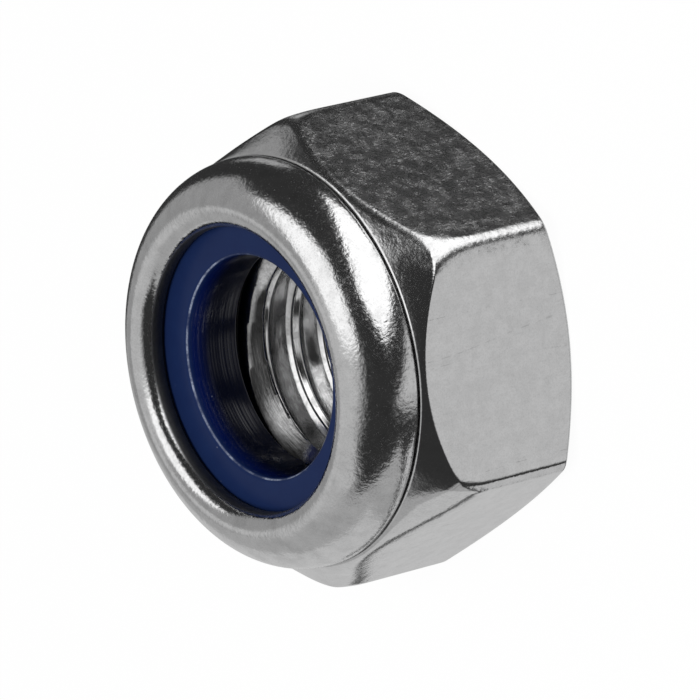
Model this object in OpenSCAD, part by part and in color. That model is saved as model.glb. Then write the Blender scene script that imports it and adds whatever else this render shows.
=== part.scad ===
// Nylon insert lock nut, thin pattern, for a coarse metric thread.
// The nut stands on its bearing face at Z = 0, and its thread runs up the Z axis.
// The collar that is rolled in over the nylon ring is at the top.

/* [Hexagon] */
// Width across the flats
across_flats = 13; // [12.9:0.1:15]
// Height from the bearing face to the top of the collar
nut_height = 8; // [7.8:0.1:9]
// Radius of the six upright edges
edge_round = 0.7; // [0.3:0.1:1.2]

/* [Bearing face] */
// Diameter of the flat face that bears on the work
bearing_face_d = 12.7; // [11.6:0.1:12.9]
// Slope of the bevel round the bearing face, in degrees
bevel_slope = 30; // [15:1:35]

/* [Collar] */
// Outer diameter of the collar
collar_d = 12.7; // [12.4:0.1:12.8]
// Height of the collar above the shoulder that it grows out of
collar_h = 2; // [2:0.05:2.5]
// Thickness of the collar's wall, also where it is rolled in
collar_wall = 1; // [0.8:0.05:1.2]
// Outer radius of the bend where the collar is rolled in
rolled_bend = 1.8; // [1.5:0.05:1.8]
// Diameter of the opening that the rolled collar leaves
opening_d = 8.8; // [8.6:0.1:9.2]
// Rounding of the rolled collar's inner edge
opening_round = 0.35; // [0.2:0.05:0.4]

/* [Shoulder] */
// Slope of the shoulder between the collar and the flats, in degrees
shoulder_slope = 47; // [30:1:50]
// Radius of the hollow corner between the collar and the shoulder
shoulder_fillet = 0.4; // [0.1:0.05:0.5]

/* [Thread] */
// Nominal diameter of the thread
thread_d = 8; // [7.8:0.1:8.2]
// Pitch of the thread
thread_pitch = 1.25; // [1:0.05:1.5]
// Height of the threaded part, up to the floor that the nylon ring stands on
thread_h = 5; // [4.8:0.1:5.4]
// Angle between the opposite sides of the countersinks, in degrees
countersink_angle = 90; // [80:5:120]
// Diameter of the countersinks at their widest
countersink_d = 8.6; // [8.2:0.1:8.6]

/* [Nylon ring] */
// Inner diameter of the nylon ring, in which the bolt cuts its own thread
nylon_bore_d = 6.86; // [6.7:0.02:7.2]
// Bevel at both ends of the nylon ring's bore
nylon_bevel = 0.15; // [0.05:0.05:0.3]
// Clearance between the nylon ring and the collar round it
nylon_clearance = 0.02; // [0.01:0.01:0.05]

/* [Hidden] */
$fn = 96;

// Every cutter runs past the face that it cuts by this much
overrun = 1;

// Hexagon
flat_r = across_flats / 2;
edge_centre_r = (flat_r - edge_round) / cos(30);
edge_steps = 8;

// Turned outline, outside
bearing_r = bearing_face_d / 2;
collar_r = collar_d / 2;
turned_r = flat_r / cos(30) + overrun;
bevel_z = (turned_r - bearing_r) * tan(bevel_slope);
shoulder_z = nut_height - collar_h;
shoulder_low_z = shoulder_z - (turned_r - collar_r) * tan(shoulder_slope);
fillet_r = collar_r + shoulder_fillet;
fillet_z = shoulder_z + shoulder_fillet * (1 - sin(shoulder_slope)) / cos(shoulder_slope);

// Rolled collar: the rounding of its inner edge touches the bend from inside
opening_r = opening_d / 2;
inner_edge_r = opening_r + opening_round;
inner_edge_z = nut_height - opening_round;
bend_r = collar_r - rolled_bend;
bend_z = inner_edge_z - sqrt(pow(rolled_bend - opening_round, 2) - pow(inner_edge_r - bend_r, 2));
touch_angle = atan2(inner_edge_z - bend_z, inner_edge_r - bend_r);

// Recess under the rolled collar, and the nylon ring in it
recess_r = collar_r - collar_wall;
recess_bend = rolled_bend - collar_wall;
nylon_bore_r = nylon_bore_d / 2;
nylon_top_z = bend_z + recess_bend - nylon_clearance;

// Plain bore, as wide as a 60 degree thread is at its crests
flank_slope = 30;
crest_depth = thread_pitch * 5 / 16 / tan(flank_slope);
minor_r = thread_d / 2 - crest_depth;
countersink_r = countersink_d / 2;
countersink_z = (countersink_r - minor_r) / tan(countersink_angle / 2);

// Hexagonal bar, each upright edge rounded in short steps
module hexagon_bar() {
    linear_extrude(nut_height + overrun)
        polygon([
            for (edge = [30:60:330], step = [0:edge_steps])
                let (turn = edge - 30 + 60 * step / edge_steps)
                edge_centre_r * [cos(edge), sin(edge)] + edge_round * [cos(turn), sin(turn)]
        ]);
}

// Half section of the outside, as it is turned and rolled, with the axis at the left
module outside_section() {
    difference() {
        union() {
            polygon([
                [0, 0],
                [bearing_r, 0],
                [turned_r, bevel_z],
                [turned_r, shoulder_low_z],
                [fillet_r - shoulder_fillet * sin(shoulder_slope),
                 fillet_z - shoulder_fillet * cos(shoulder_slope)],
                [fillet_r, fillet_z],
                [collar_r, fillet_z],
                [collar_r, bend_z],
                [0, bend_z]
            ]);
            translate([bend_r, bend_z])
                circle(r = rolled_bend);
        }
        translate([fillet_r, fillet_z])
            circle(r = shoulder_fillet);
        difference() {
            polygon([
                [0, inner_edge_z],
                [inner_edge_r, inner_edge_z],
                [inner_edge_r + overrun * cos(touch_angle),
                 inner_edge_z + overrun * sin(touch_angle)],
                [0, inner_edge_z + overrun * sin(touch_angle)]
            ]);
            translate([inner_edge_r, inner_edge_z])
                circle(r = opening_round);
        }
    }
}

// Half section of the recess, or of the ring in it when clear is its clearance
module recess_section(clear = 0) {
    square_h = bend_z - thread_h;
    translate([0, thread_h])
        square([recess_r - clear, square_h]);
    translate([0, thread_h])
        square([bend_r, square_h + recess_bend - clear]);
    translate([bend_r, bend_z])
        circle(r = recess_bend - clear);
}

// Half section of the bore, its countersinks and the opening in the collar
module bore_section() {
    polygon([
        [0, -overrun],
        [countersink_r + overrun * tan(countersink_angle / 2), -overrun],
        [minor_r, countersink_z],
        [minor_r, thread_h - countersink_z],
        [countersink_r, thread_h],
        [countersink_r, bend_z],
        [opening_r, bend_z],
        [opening_r, nut_height + overrun],
        [0, nut_height + overrun]
    ]);
}

// Forged and turned hexagon with the collar in one piece with it
module nut_body() {
    color([0.75, 0.76, 0.77])
        difference() {
            intersection() {
                hexagon_bar();
                rotate_extrude()
                    outside_section();
            }
            rotate_extrude() {
                recess_section();
                bore_section();
            }
        }
}

// Moulded ring that grips the bolt
module nylon_insert() {
    color([0.10, 0.15, 0.32])
        rotate_extrude()
            difference() {
                recess_section(nylon_clearance);
                polygon([
                    [0, thread_h],
                    [nylon_bore_r + nylon_bevel, thread_h],
                    [nylon_bore_r, thread_h + nylon_bevel],
                    [nylon_bore_r, nylon_top_z - nylon_bevel],
                    [nylon_bore_r + nylon_bevel, nylon_top_z],
                    [0, nylon_top_z]
                ]);
            }
}

nut_body();
nylon_insert();
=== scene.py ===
import math

import bmesh
import bpy
from mathutils import Matrix, Vector


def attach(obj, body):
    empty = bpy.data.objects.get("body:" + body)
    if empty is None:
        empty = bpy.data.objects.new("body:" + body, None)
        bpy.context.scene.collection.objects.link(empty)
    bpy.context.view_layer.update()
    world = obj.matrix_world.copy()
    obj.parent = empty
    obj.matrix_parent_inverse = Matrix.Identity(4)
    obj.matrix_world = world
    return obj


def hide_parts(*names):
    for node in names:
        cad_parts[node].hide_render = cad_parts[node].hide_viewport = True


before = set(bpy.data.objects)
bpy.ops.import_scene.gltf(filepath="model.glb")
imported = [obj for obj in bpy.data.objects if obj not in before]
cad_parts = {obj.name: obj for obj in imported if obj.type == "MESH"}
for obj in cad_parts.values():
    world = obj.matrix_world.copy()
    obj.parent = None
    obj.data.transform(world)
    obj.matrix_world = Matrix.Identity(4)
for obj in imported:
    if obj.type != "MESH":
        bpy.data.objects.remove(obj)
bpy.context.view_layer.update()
mm = 0.001

# The camera looks down into the nut from the nylon side, from a long way off for its size,
# so the far edges are hardly smaller than the near ones. It is rolled, because the nut was
# photographed with its thread pointing out to the lower left.
view_azimuth = -106.64
view_height = 38.06
view_roll = math.radians(-103.67)
view_distance = 215.98 * mm
view_aim = Vector((0.330, 1.620, 2.103)) * mm


def direction(azimuth, height):
    """Unit vector towards an azimuth and a height above the floor, both in degrees."""
    a, h = math.radians(azimuth), math.radians(height)
    return Vector((math.cos(h) * math.cos(a), math.cos(h) * math.sin(a), math.sin(h)))


towards_camera = direction(view_azimuth, view_height)
camera_data = bpy.data.cameras.new("view")
camera_data.lens = 360
camera_data.sensor_width = 36
camera_data.clip_start = 10 * mm
camera = bpy.data.objects.new("view", camera_data)
camera.matrix_world = (
    Matrix.Translation(view_aim + towards_camera * view_distance)
    @ towards_camera.to_track_quat("Z", "Y").to_matrix().to_4x4()
    @ Matrix.Rotation(view_roll, 4, "Z")
)
bpy.context.scene.collection.objects.link(camera)
bpy.context.scene.camera = camera

# Steel nut. It is cold formed from stainless wire as one piece, a hexagon with a thin collar on
# top. Both ends are turned and the bore is tapped from end to end, and then the collar is rolled
# in over the nylon ring, which leaves a narrow crease at its root. Lengths here are millimetres.
sixth = math.radians(60)
flat_reach = 6.5
# each upright edge has its own round, and the press left it rounder above a height
edge_rounds = (0.7, 0.6, 0.7, 0.5, 0.55, 0.7)
pressed_growths = (0.33, 0.33, 0.33, 0.33, 0.52, 0.33)
pressed_from = 3.6

bearing_reach = 6.35
bearing_round = 0.3
bevel_slope = math.radians(30)
bevel_round = 0.12

# the sides turn into the shoulder softly, each flat and each edge in its own way
shoulder_height = 6.0
shoulder_slope = math.radians(47)
flat_blends = (0.3, 0.2, 0.5, 1.6, 0.08, 0.22)
edge_blends = (0.5, 0.5, 0.5, 0.5, 0.06, 0.5)

# a small bead of metal stands up on the shoulder, and the crease lies between it and the collar
bead_touch = 6.41
bead_round = 0.12
bead_end = math.radians(100)
crease_reach = 6.26
crease_height = 6.015
crease_round = 0.012

collar_reach = 6.35
collar_foot = 6.07
foot_round = 0.02
bend = 1.8
bend_centre = (4.55, 6.214)
lip_round = 0.6
lip_centre = (5.0, 7.326)
lip_touch = math.atan2(lip_centre[1] - bend_centre[1], lip_centre[0] - bend_centre[0])
lip_curl = math.radians(203)

recess_reach = 5.35
recess_bend = 0.8
recess_end = math.radians(70)
seat_height = 5.0
seat_round = 0.1

mouth_reach = 4.3
mouth_round = 0.1
pitch = 1.25
flank_slope = math.radians(30)
root_reach = 4.0
root_flat = pitch / 8
root_round = 0.12
crest_reach = root_reach - pitch * 5 / 16 / math.tan(flank_slope)
crest_round = 0.06
thread_turn = math.radians(162)


def hexagon_reach(turn, height=0):
    """How far the hexagon reaches from the axis, in one direction and at one height."""
    from_flat = abs((turn + sixth / 2) % sixth - sixth / 2)
    edge = math.floor(turn / sixth) % 6
    edge_round = edge_rounds[edge] + pressed_growths[edge] * max(height - pressed_from, 0) ** 2
    edge_centre = (flat_reach - edge_round) / math.cos(sixth / 2)
    if math.tan(from_flat) * flat_reach <= edge_centre * math.sin(sixth / 2):
        return flat_reach / math.cos(from_flat)
    off_edge = sixth / 2 - from_flat
    across = edge_centre * math.sin(off_edge)
    return edge_centre * math.cos(off_edge) + math.sqrt(edge_round**2 - across**2)


def shoulder_at(reach):
    """Height of the shoulder's cone at a distance from the axis."""
    return shoulder_height - (reach - collar_reach) * math.tan(shoulder_slope)


def arc(centre, radius, start, end, steps):
    """Points of an arc in the half plane of distance from the axis and height."""
    turns = [start + (end - start) * step / steps for step in range(steps + 1)]
    return [(centre[0] + radius * math.cos(t), centre[1] + radius * math.sin(t)) for t in turns]


def blend(before, corner, after, radius, steps):
    """The rounded corner of an outline: an arc that touches both of its straight sides, and that
    takes less than half of either."""
    corner = Vector(corner)
    back, on = Vector(before) - corner, Vector(after) - corner
    half = back.angle(on) / 2
    cut = min(radius / math.tan(half), 0.48 * back.length, 0.48 * on.length)
    radius = cut * math.tan(half)
    centre = corner + (back.normalized() + on.normalized()).normalized() * cut / math.cos(half)
    first = corner + back.normalized() * cut - centre
    last = corner + on.normalized() * cut - centre
    sweep = first.angle_signed(last)
    points = []
    for step in range(steps + 1):
        turned = first.copy()
        turned.rotate(Matrix.Rotation(-sweep * step / steps, 2))
        points.append(tuple(centre + turned))
    return points


def eased(before, low_cut, corner, after, high_cut, steps):
    """A softly pressed corner of an outline, which leaves its two sides at different lengths."""
    corner = Vector(corner)
    start = corner + (Vector(before) - corner).normalized() * low_cut
    end = corner + (Vector(after) - corner).normalized() * high_cut
    points = []
    for step in range(steps + 1):
        share = step / steps
        points.append(tuple(start.lerp(corner, share).lerp(corner.lerp(end, share), share)))
    return points


def straight(start, end, shares):
    """Points between two ends of a straight side, at the given shares of its length."""
    run, rise = end[0] - start[0], end[1] - start[1]
    return [(start[0] + run * share, start[1] + rise * share) for share in shares]


# the bead beside the crease starts as a tangent to the shoulder
bead_start = math.pi / 2 - shoulder_slope
bead_foot = (bead_touch, shoulder_at(bead_touch))
bead_centre = (
    bead_foot[0] - bead_round * math.cos(bead_start),
    bead_foot[1] - bead_round * math.sin(bead_start),
)
# corners of the turned outline that are the same in every direction
cone_below = (mouth_reach - 1, 1)
mouth = (mouth_reach, 0)
rim = (bearing_reach, 0)
recess_top = (recess_reach, bend_centre[1])
recess_corner = (recess_reach, seat_height)
seat_edge = (mouth_reach, seat_height)
cone_above = (mouth_reach - 1, seat_height - 1)
# rows of the sides lie closer together towards the shoulder, where the edges get rounder
side_rows = (0.05, 0.2, 0.4, 0.55, 0.66, 0.75, 0.82, 0.87, 0.91, 0.94, 0.97)


def shoulder_corner(turn):
    """Where a side would meet the shoulder if the corner between them were sharp."""
    # an edge reaches less far the higher it goes, so a few rounds settle its height and reach
    height = shoulder_height
    for _ in range(6):
        reach = hexagon_reach(turn, height)
        height = shoulder_at(reach)
    return (reach, height)


def shoulder_line(turn, corner):
    """Section of a side's soft turn into the shoulder, with its end towards the bead."""
    # 0 in the middle of a flat and 1 at an edge
    sharp_reach = flat_reach / math.cos((turn + sixth / 2) % sixth - sixth / 2)
    edge_share = (sharp_reach - flat_reach) / (flat_reach / math.cos(sixth / 2) - flat_reach)
    flat_blend = flat_blends[math.floor(turn / sixth + 0.5) % 6]
    edge_blend = edge_blends[math.floor(turn / sixth) % 6]
    low_cut = flat_blend + (edge_blend - flat_blend) * edge_share**6
    # the soft turn reaches about half as far along the shoulder as down the side
    high_cut = min(0.1 + 0.45 * low_cut, 0.9 * math.dist(corner, bead_foot))
    start_height = corner[1] - low_cut
    start = (hexagon_reach(turn, start_height), start_height)
    return eased(start, math.dist(start, corner), corner, bead_foot, high_cut, 12)


def outside_line(turn):
    """Section of the nut's outside in one direction, from the bearing face up and over the collar
    and down through the recess to the floor that the nylon ring stands on."""
    reach = hexagon_reach(turn)
    bevel_top = (reach, (reach - bearing_reach) * math.tan(bevel_slope))
    corner = shoulder_corner(turn)
    shoulder = shoulder_line(turn, corner)
    line = blend(cone_below, mouth, rim, mouth_round, 3)
    line += straight(mouth, rim, (0.08, 0.5, 0.92))
    line += blend(mouth, rim, bevel_top, bearing_round, 5)
    line += blend(rim, bevel_top, corner, bevel_round, 4)
    lowest, highest = line[-1][1], shoulder[0][1]
    for share in side_rows:
        height = lowest + (highest - lowest) * share
        line.append((hexagon_reach(turn, height), height))
    line += shoulder
    line += straight(shoulder[-1], bead_foot, (0.5,))
    line += arc(bead_centre, bead_round, bead_start, bead_end, 5)
    # the crease is shut tighter on some sides than on others
    shut = 0.02 * math.sin(3 * turn + 1) + 0.012 * math.sin(11 * turn) + 0.008 * math.sin(29 * turn)
    deepest = crease_reach + shut
    line += [
        (deepest + crease_round, crease_height - crease_round),
        (deepest, crease_height),
        (deepest + crease_round, crease_height + crease_round),
        (collar_reach - crease_round, collar_foot - foot_round - shut),
        (collar_reach, collar_foot + foot_round),
    ]
    line += arc(bend_centre, bend, 0, lip_touch, 26)
    line += arc(lip_centre, lip_round, lip_touch, lip_curl, 16)[1:]
    line += arc(bend_centre, recess_bend, recess_end, 0, 8)
    line += blend(recess_top, recess_corner, seat_edge, seat_round, 2)
    line += blend(recess_corner, seat_edge, cone_above, mouth_round, 3)
    return line


def soft_min(a, b, width):
    """The smaller of two numbers, with the corner between them rounded over a width."""
    near = max(width - abs(a - b), 0) / width
    return min(a, b) - near * near * width / 4


def thread_reach(height, turn):
    """Distance from the axis to the wall of the right-hand thread."""
    off_root = abs((height / pitch - (turn - thread_turn) / math.tau + 0.5) % 1 - 0.5) * pitch
    flank = root_reach - (off_root - root_flat / 2) / math.tan(flank_slope)
    return -soft_min(-crest_reach, -soft_min(flank, root_reach, root_round), crest_round)


def cone_reach(height):
    """Distance from the axis to the countersinks at both ends of the thread."""
    return mouth_reach - min(height, seat_height - height)


# rows of the thread's mesh lie close together where a crest or a root is rounded
half_rows = (0.5, 0.44, 0.4, 0.375, 0.35, 0.28, 0.2, 0.12, 0.08, 0.05, 0.02)
thread_rows = [-row for row in half_rows] + list(reversed(half_rows[1:]))


def bore_line(turn, lowest, highest):
    """Section of the tapped bore in one direction. Its rows climb with the thread, and those
    that would pass its ends stop there, all in one place."""
    line = []
    for coil in range(-1, round(seat_height / pitch) + 1):
        for row in thread_rows:
            height = pitch * (coil + row + (turn - thread_turn) % math.tau / math.tau)
            line.append(min(max(height, lowest), highest))
    # the nearest row moves to where the thread runs out into a countersink
    for place in range(len(line) - 1):
        low, high = line[place], line[place + 1]
        gaps = [thread_reach(h, turn) - cone_reach(h) for h in (low, high)]
        if high > low and gaps[0] * gaps[1] < 0:
            share = gaps[0] / (gaps[0] - gaps[1])
            line[place if share < 0.5 else place + 1] = low + share * (high - low)
    return [(max(thread_reach(h, turn), cone_reach(h)), h) for h in line]


def mesh_piece(name, points, faces):
    """A smooth closed mesh from points in millimetres, with coinciding points made one."""
    mesh = bpy.data.meshes.new(name)
    mesh.from_pydata([Vector(point) * mm for point in points], [], faces)
    shape = bmesh.new()
    shape.from_mesh(mesh)
    coinciding = 0.0001 * mm
    bmesh.ops.remove_doubles(shape, verts=shape.verts, dist=coinciding)
    bmesh.ops.dissolve_degenerate(shape, edges=shape.edges, dist=coinciding)
    bmesh.ops.recalc_face_normals(shape, faces=shape.faces)
    shape.to_mesh(mesh)
    shape.free()
    mesh.shade_smooth()
    piece = bpy.data.objects.new(name, mesh)
    bpy.context.scene.collection.objects.link(piece)
    return piece


# columns of the mesh lie closer together round the edges than across the flats
flat_columns = 44
edge_columns = 24
flat_turn = math.atan(math.tan(sixth / 2) * (1 - max(edge_rounds) / flat_reach))
edge_turn = sixth - 2 * flat_turn
turns = []
for side in range(6):
    start = sixth * side - flat_turn
    turns += [start + 2 * flat_turn * step / flat_columns for step in range(flat_columns)]
    start += 2 * flat_turn
    turns += [start + edge_turn * step / edge_columns for step in range(edge_columns)]

points, faces, columns = [], [], []
for turn in turns:
    outside = outside_line(turn)
    bore = bore_line(turn, outside[0][1], outside[-1][1])
    columns.append(len(points))
    points += [(r * math.cos(turn), r * math.sin(turn), z) for r, z in outside + bore]
for place, here in enumerate(columns):
    on = (place + 1) % len(columns)
    there = columns[on]
    for row in range(len(outside) - 1):
        faces.append((here + row, there + row, there + row + 1, here + row + 1))
    # one turn round, each coil of the thread meets the next coil up or down
    wound, wound_on = [(turns[column] - thread_turn) % math.tau for column in (place, on)]
    climb = len(thread_rows) if wound > wound_on else 0
    low = here + len(outside)
    low_on = there + len(outside) + climb
    for row in range(len(bore) - 1 - climb):
        faces.append((low + row, low + row + 1, low_on + row + 1, low_on + row))
nut = mesh_piece("steel_nut", points, faces)
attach(nut, "root")
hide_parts("nut_body")


class Value:
    """A number or a vector that varies over a surface. Python arithmetic adds the nodes for it."""

    def __init__(self, finish, socket):
        self.finish, self.socket = finish, socket

    def maths(self, operation, *numbers):
        settings = {"operation": operation}
        return self.finish.node("ShaderNodeMath", settings, dict(enumerate(numbers)))["Value"]

    def __add__(self, other):
        return self.maths("ADD", self, other)

    def __sub__(self, other):
        return self.maths("SUBTRACT", self, other)

    def __rsub__(self, other):
        return self.maths("SUBTRACT", other, self)

    def __mul__(self, other):
        return self.maths("MULTIPLY", self, other)

    def __truediv__(self, other):
        return self.maths("DIVIDE", self, other)

    __radd__ = __add__
    __rmul__ = __mul__

    def between(self, low, high):
        """0 below low, 1 above high and a smooth rise between them, or a fall if low is higher."""
        settings = {"interpolation_type": "SMOOTHSTEP"}
        sockets = {"Value": self, "From Min": low, "From Max": high}
        if low > high:
            sockets.update({"From Min": high, "From Max": low, "To Min": 1, "To Max": 0})
        return self.finish.node("ShaderNodeMapRange", settings, sockets)["Result"]

    def outside(self, middle, width):
        """How far off a middle number this is, 0 there and 1 at the width to either side."""
        return self.maths("ABSOLUTE", self - middle).between(0, width)

    def vector_maths(self, operation, *others, output="Vector"):
        sockets = dict(enumerate((self, *others)))
        return self.finish.node("ShaderNodeVectorMath", {"operation": operation}, sockets)[output]

    def scaled(self, *factors):
        """This place or direction with each of its three numbers multiplied."""
        return self.vector_maths("MULTIPLY", factors)

    def length(self):
        return self.vector_maths("LENGTH", output="Value")

    def parts(self):
        """The three numbers of a place or direction."""
        sockets = self.finish.node("ShaderNodeSeparateXYZ", {}, {"Vector": self})
        return [sockets[axis] for axis in "XYZ"]


class Finish:
    """The nodes of a material or of the world's light."""

    def __init__(self, owner):
        owner.use_nodes = True
        self.owner, self.tree = owner, owner.node_tree
        self.tree.nodes.clear()

    def node(self, kind, settings=None, sockets=None):
        """Adds a node with its settings and then its sockets, and returns its outputs by name."""
        made = self.tree.nodes.new(kind)
        for name, setting in (settings or {}).items():
            setattr(made, name, setting)
        for name, value in (sockets or {}).items():
            if isinstance(value, Value):
                self.tree.links.new(value.socket, made.inputs[name])
            else:
                made.inputs[name].default_value = value
        return {output.name: Value(self, output) for output in made.outputs if output.enabled}

    def surface(self, shader):
        kind = "World" if isinstance(self.owner, bpy.types.World) else "Material"
        output = self.tree.nodes.new("ShaderNodeOutput" + kind)
        self.tree.links.new(shader.socket, output.inputs["Surface"])

    def place(self):
        """Where a point of the surface lies, in millimetres."""
        return self.node("ShaderNodeTexCoord")["Object"].scaled(1 / mm, 1 / mm, 1 / mm)

    def vector(self, x, y, z=0):
        return self.node("ShaderNodeCombineXYZ", {}, {"X": x, "Y": y, "Z": z})["Vector"]

    def noise(self, where, scale, detail=2, roughness=0.5):
        """Cloudy noise from 0 to 1, with scale features a millimetre."""
        sockets = {"Vector": where, "Scale": scale, "Detail": detail, "Roughness": roughness}
        return self.node("ShaderNodeTexNoise", {}, sockets)["Fac"]

    def pits(self, where, spacing, width):
        """1 in small round pits that lie about a spacing apart, and 0 between them."""
        cell = self.node("ShaderNodeTexVoronoi", {}, {"Vector": where, "Scale": 1 / spacing})
        chance, size = cell["Color"].parts()[:2]
        off_middle = cell["Distance"] / (size + 0.3)
        pit = off_middle.between(width / spacing, 0.5 * width / spacing)
        return pit * chance.between(0.55, 0.6)

    def mix(self, share, first, second):
        """A colour between two, by a share from 0 to 1."""
        sockets = {"Factor": share, 6: first, 7: second}
        return self.node("ShaderNodeMix", {"data_type": "RGBA"}, sockets)["Result"]

    def relief(self, height, depth, over=None):
        """A surface pushed out by a height from 0 to 1 times a depth in millimetres."""
        sockets = {"Height": height, "Distance": depth * mm, "Strength": 1}
        if over is not None:
            sockets["Normal"] = over
        return self.node("ShaderNodeBump", {}, sockets)["Normal"]


def grey(level):
    return (level, level, level, 1)


steel = Finish(bpy.data.materials.new("stainless steel"))
place = steel.place()
across_x, across_y, height = place.parts()
outward = place.scaled(1, 1, 0)
reach = outward.length()
round_way = outward.vector_maths("NORMALIZE")

# where the parts of the nut lie, each 1 there and 0 elsewhere
collar = height.between(shoulder_height - 0.02, shoulder_height + 0.06)
bore = reach.between(mouth_reach + 0.1, mouth_reach + 0.06)
bore *= height.between(seat_height + 0.02, seat_height)
side = (1 - collar) * reach.between(6.2, 6.4)
crease = reach.between(6.18, 6.25) * height.outside(crease_height, 0.07).between(1, 0.4)
crease *= reach.between(6.37, 6.34)
foot = height.between(0.3, 0.1) * reach.between(4.1, 4.25)
inner_lip = reach.between(4.72, 4.6) * height.between(7.62, 7.5) * height.between(7.08, 7.14)
gap = reach.between(5.8, 5.7) * height.between(7.17, 7.12) * height.between(5.0, 5.1)
last_root = height.between(4.02, 4.4) * reach.between(3.5, 3.9)

# one flat is scuffed, and the others are as the press left them
across_scuffed_flat = across_x * math.cos(-sixth) + across_y * math.sin(-sixth)
scuffed = across_scuffed_flat.between(5.7, 6.2)
smooth = bore * 0.9 + side * (1 - scuffed) * 0.55

# skin of the metal, in ever finer features
cloud = steel.noise(place, 0.5, 3)
waves = steel.noise(place, 1.3, 2)
blotch = steel.noise(place, 2.2, 4, 0.65)
orange_peel = steel.noise(place, 5, 2)
grain = steel.noise(place, 9, 1.5)
speckle = steel.noise(place, 18, 2, 0.6)
pit = steel.pits(place, 1.1, 0.04)

# marks that run one way: round the collar, up the sides and round the tapped bore
rolled_way = round_way.scaled(4, 4, 4).vector_maths("ADD", place.scaled(0.1, 0.1, 0.15))
streaks = steel.noise(rolled_way, 12, 2)
drawn = steel.noise(place.scaled(1, 1, 0.3), 8, 4, 0.75)
turned = steel.noise(steel.vector(reach, height, across_x * 0.1), 14, 3, 0.6)
flecks = steel.noise(place.scaled(1, 1, 0.4), 16, 3, 0.6).between(0.57, 0.72)
flecks *= blotch.between(0.4, 0.62)
hairline = steel.noise(place.scaled(1, 1, 0.07), 0.8, 1).outside(0.5, 0.006).between(1, 0)
hairline *= blotch.between(0.48, 0.6)

shape = steel.relief(waves, 0.006)
shape = steel.relief((1 - smooth) * orange_peel, 0.006, shape)
shape = steel.relief((1 - smooth) * grain, 0.005, shape)
shape = steel.relief((1 - smooth) * speckle, 0.001, shape)
shape = steel.relief(collar * streaks, 0.0008, shape)
shape = steel.relief(side * drawn, 0.0015, shape)
shape = steel.relief((bore + foot) * turned, 0.0015, shape)
shape = steel.relief(side * scuffed * flecks, 0.0024, shape)
shape = steel.relief(1 - pit, 0.01, shape)
shape = steel.relief(1 - side * hairline, 0.001, shape)

tone = steel.mix(cloud, (0.74, 0.74, 0.745, 1), grey(0.8))
tone = steel.mix(blotch.between(0.35, 0.65) * 0.22, tone, grey(0.5))
tone = steel.mix(side * drawn.between(0.45, 0.7) * 0.15, tone, grey(0.5))
tone = steel.mix(speckle.between(0.4, 0.65) * 0.15, tone, grey(0.4))
tone = steel.mix(hairline * side * 0.3, tone, grey(0.3))
rolled_grime = collar * waves.between(0.45, 0.65) * blotch.between(0.3, 0.7)
tone = steel.mix(rolled_grime * 0.3, tone, grey(0.45))
tone = steel.mix(pit * 0.8, tone, grey(0.05))
# painted shade: the crease is painted nearly black, unevenly along its length
tone = steel.mix(crease * (0.6 + grain * 0.6), tone, grey(0.03))
# painted shade inside the bore, laid on in blotches
tone = steel.mix(bore * blotch.between(0.45, 0.65) * 0.35, tone, grey(0.2))
# painted shade: the top of the thread, just under the nylon ring, is painted nearly black
tone = steel.mix(bore * last_root * 0.95, tone, grey(0.02))
# painted shade: the inner face of the rolled lip is painted dark
tone = steel.mix(inner_lip * 0.9, tone, grey(0.08))
# painted shade: the steel under the lip, round the nylon ring, is painted black
tone = steel.mix(gap * 0.95, tone, grey(0.01))

worn = 0.05 + drawn.between(0.35, 0.7) * 0.05 + blotch.between(0.35, 0.65) * 0.08 + flecks * 0.1
rough = 0.07 + speckle.between(0.5, 0.75) * 0.08 + blotch * 0.05
rough += collar * (0.03 + grain.between(0.45, 0.75) * 0.09)
rough += side * scuffed * worn
rough += (crease + gap) * 0.3
rough += inner_lip * 0.4
shader = steel.node("ShaderNodeBsdfPrincipled", {}, {
    "Base Color": tone,
    "Metallic": 1,
    "Roughness": rough,
    "Normal": shape,
})["BSDF"]
steel.surface(shader)
nut.data.materials.append(steel.owner)

# Nylon ring. It is moulded in dark blue nylon, dropped into the recess and pressed down by the
# rolled collar. Its plain bore is smaller than the bolt, which cuts its own thread in it.
ring_clearance = 0.02
ring_reach = recess_reach - ring_clearance
ring_bore = 3.43
ring_bend = recess_bend - ring_clearance
ring_top = bend_centre[1] + ring_bend
ring_bevel = 0.17
ring_foot_round = 0.1
ring_columns = 240

inner_foot = (ring_bore, seat_height)
outer_foot = (ring_reach, seat_height)
outer_side = (ring_reach, bend_centre[1])
inner_top = (ring_bore, ring_top)
bend_top = (bend_centre[0], ring_top)
ring_line = (
    blend(inner_top, inner_foot, outer_foot, ring_foot_round, 4)
    + blend(inner_foot, outer_foot, outer_side, ring_foot_round, 4)
    + arc(bend_centre, ring_bend, 0, math.radians(90), 10)
    + straight(bend_top, inner_top, (0.25, 0.5, 0.75))
    + blend(bend_top, inner_top, inner_foot, ring_bevel, 8)
)
points, faces = [], []
for column in range(ring_columns):
    turn = math.tau * column / ring_columns
    here = column * len(ring_line)
    there = (column + 1) % ring_columns * len(ring_line)
    points += [(r * math.cos(turn), r * math.sin(turn), z) for r, z in ring_line]
    for row in range(len(ring_line)):
        on = (row + 1) % len(ring_line)
        faces.append((here + row, there + row, there + on, here + on))
ring = mesh_piece("nylon_ring", points, faces)
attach(ring, "root")
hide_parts("nylon_insert")

nylon = Finish(bpy.data.materials.new("blue nylon"))
place = nylon.place()
height = place.parts()[2]
reach = place.scaled(1, 1, 0).length()
bore_wall = reach.between(ring_bore + 0.04, ring_bore)
bore_wall *= height.between(ring_top - 0.05, ring_top - 0.3)
edge = reach.outside(ring_bore + 0.05, 0.035).between(1, 0.2)
edge *= height.between(ring_top - 0.2, ring_top - 0.1)

cloud = nylon.noise(place, 1.5, 3)
grain = nylon.noise(place, 14, 3, 0.6)
turned = nylon.noise(nylon.vector(reach, height), 12, 3, 0.6)
speck = nylon.pits(place, 0.5, 0.03)

# painted shade: the ring's bore is painted darker and darker below its top
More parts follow.
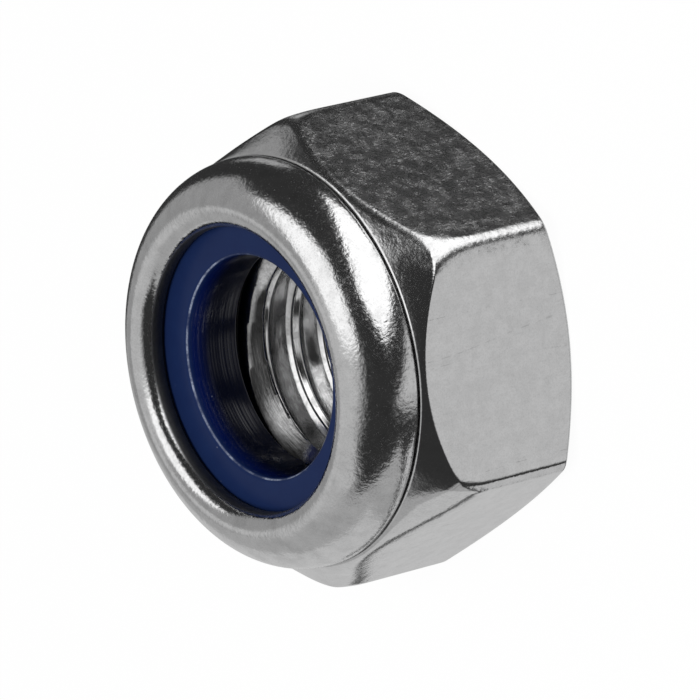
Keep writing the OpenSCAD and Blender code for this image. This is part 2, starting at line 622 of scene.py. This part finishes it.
shaded_bore_tone = nylon.mix(height.between(6.0, 6.9), (0.0003, 0.0015, 0.01, 1), (0.0006, 0.008, 0.09, 1))
tone = nylon.mix(cloud, (0.0075, 0.016, 0.064, 1), (0.0095, 0.022, 0.079, 1))
tone = nylon.mix(bore_wall, tone, shaded_bore_tone)
# painted highlight: a pale, uneven line round the top edge of the ring's bore
bevel_highlight = edge * (0.15 + cloud.between(0.4, 0.7)) * grain.between(0.1, 0.7)
tone = nylon.mix(bevel_highlight, tone, (0.3, 0.34, 0.45, 1))
tone = nylon.mix(speck * 0.6, tone, (0.2, 0.22, 0.3, 1))
shape = nylon.relief(grain, 0.002)
shape = nylon.relief(bore_wall * turned, 0.005, shape)
shader = nylon.node("ShaderNodeBsdfPrincipled", {}, {
    "Base Color": tone,
    "Roughness": 0.24 + grain * 0.12,
    "Specular IOR Level": 0.1,
    "Coat Weight": bore_wall * turned.between(0.4, 0.65) * 0.7,
    "Coat Roughness": 0.12,
    "Normal": shape,
})["BSDF"]
nylon.surface(shader)
ring.data.materials.append(nylon.owner)

# Floor and studio. The nut lies on a plain white table, with soft boxes round it and above, a dark
# studio behind the camera, and a grey wall opposite. Only the steel, as a mirror, picks these out.
floor_half = 1
floor_corners = [
    (-floor_half, -floor_half, 0), (floor_half, -floor_half, 0),
    (floor_half, floor_half, 0), (-floor_half, floor_half, 0),
]
floor_mesh = bpy.data.meshes.new("floor")
floor_mesh.from_pydata(floor_corners, [], [(0, 1, 2, 3)])
floor = bpy.data.objects.new("floor", floor_mesh)
# the table lies a hair below the bearing face, so that the two don't fight where they meet
floor.location.z = -0.01 * mm
bpy.context.scene.collection.objects.link(floor)

# the camera sees the table as bright paper with a faint shadow, and mirrors see through it
paper = Finish(bpy.data.materials.new("white table"))
ray = paper.node("ShaderNodeLightPath")
lit = paper.node("ShaderNodeBsdfDiffuse", {}, {"Color": (0.9, 0.9, 0.9, 1)})["BSDF"]
glow = paper.node("ShaderNodeEmission", {}, {"Color": (1, 1, 1, 1)})["Emission"]
clear = paper.node("ShaderNodeBsdfTransparent")["BSDF"]
mirrored = ray["Is Glossy Ray"] + ray["Is Transmission Ray"]
seen = paper.node("ShaderNodeMixShader", {}, {"Fac": 0.96, 1: lit, 2: glow})["Shader"]
shader = paper.node("ShaderNodeMixShader", {}, {"Fac": ray["Is Camera Ray"], 1: lit, 2: seen})["Shader"]
shader = paper.node("ShaderNodeMixShader", {}, {"Fac": mirrored, 1: shader, 2: clear})["Shader"]
paper.surface(shader)
floor_mesh.materials.append(paper.owner)

world = bpy.data.worlds.new("studio")
world.cycles.sampling_method = "NONE"
bpy.context.scene.world = world
studio = Finish(world)
towards = studio.node("ShaderNodeTexCoord")["Generated"]


def card(light, corners, rim, level):
    """Lays a card with these corners, a soft rim and its own level of light over the light that
    comes from each direction."""
    corners = [direction(*corner) for corner in corners]
    middle = sum(corners, Vector())
    shown = 1
    for start, end in zip(corners, corners[1:] + corners[:1]):
        across = start.cross(end).normalized()
        across *= math.copysign(1, across.dot(middle))
        off_edge = towards.vector_maths("DOT_PRODUCT", across, output="Value")
        shown = off_edge.between(-rim, rim) * shown
    return light + shown * (level - light)


# a dark studio, paler straight above and straight below
dark = 0.035
up = towards.parts()[2]
light = dark + up.between(0.76, 0.99) * 0.57 + up.between(-0.8, -0.92) * 0.7

# the wall opposite the camera, with its foot, its skirting and its upper part
wall = [(99, -36), (70, -20), (65, 4), (64, 30), (82, 52), (131, 48), (175, 37), (202, -16), (146, -38)]
light = card(light, wall, rim=0.05, level=0.44)
low_wall = [(62, -41), (80, -6), (110, 8), (162, 2), (148, -28), (118, -44)]
light = card(light, low_wall, rim=0.07, level=0.6)
low_strip = [(12, -26), (36, -26), (38, -36), (14, -36)]
light = card(light, low_strip, rim=0.025, level=0.42)
right_foot = [(122, -46), (122, -30), (190, -30), (192, -46)]
light = card(light, right_foot, rim=0.03, level=0.6)
skirting = [(104, -34.5), (106, -32), (168, -29), (168, -32.5)]
light = card(light, skirting, rim=0.015, level=0.07)
high_wall = [(102, 42), (112, 80), (176, 78), (165, 34)]
light = card(light, high_wall, rim=0.12, level=0.56)

# boards on both sides and above
side_board = [(14, 6), (8, 34), (4, 66), (66, 60), (88, 40), (72, -8), (56, -10)]
light = card(light, side_board, rim=0.06, level=0.35)
high_board = [(56, 30), (108, 34), (112, 72), (60, 70)]
light = card(light, high_board, rim=0.1, level=0.58)
near_board = [(206, -52), (219, 0), (262, -46)]
light = card(light, near_board, rim=0.1, level=0.62)

# soft boxes, one overhead and one low beside the camera
overhead = [(230, 58), (307, 45), (334, 38), (8, 30), (22, 74), (60, 86), (252, 86)]
light = card(light, overhead, rim=0.1, level=1.25)
low_box = [
    (248, 0), (266, 23), (281, 26), (313, -2), (338, -27), (332, -38), (290, -48), (276, -44), (262, -20),
]
light = card(light, low_box, rim=0.06, level=1.45)

# only mirrors see the cards: other surfaces get an even light, and the camera sees white
plain = 0.35
ray = studio.node("ShaderNodeLightPath")
mirrored = ray["Is Glossy Ray"] + ray["Is Transmission Ray"]
beyond_camera = (1 - ray["Is Camera Ray"]) * (plain + mirrored * (light - plain))
level = ray["Is Camera Ray"] + beyond_camera
background = studio.node("ShaderNodeBackground", {}, {"Color": level})["Background"]
studio.surface(background)

# one soft lamp lights the nylon and gives the table its faint shadow
lamp_data = bpy.data.lights.new("soft lamp", "AREA")
lamp_data.size = 0.15
lamp_data.energy = 0.7
lamp_way = direction(250, 64)
lamp_distance = 0.3
lamp = bpy.data.objects.new("soft lamp", lamp_data)
lamp.location = lamp_way * lamp_distance
lamp.rotation_mode = "QUATERNION"
lamp.rotation_quaternion = lamp_way.to_track_quat("Z", "Y")
lamp.visible_glossy = False
bpy.context.scene.collection.objects.link(lamp)

bpy.context.scene.view_settings.view_transform = "Standard"
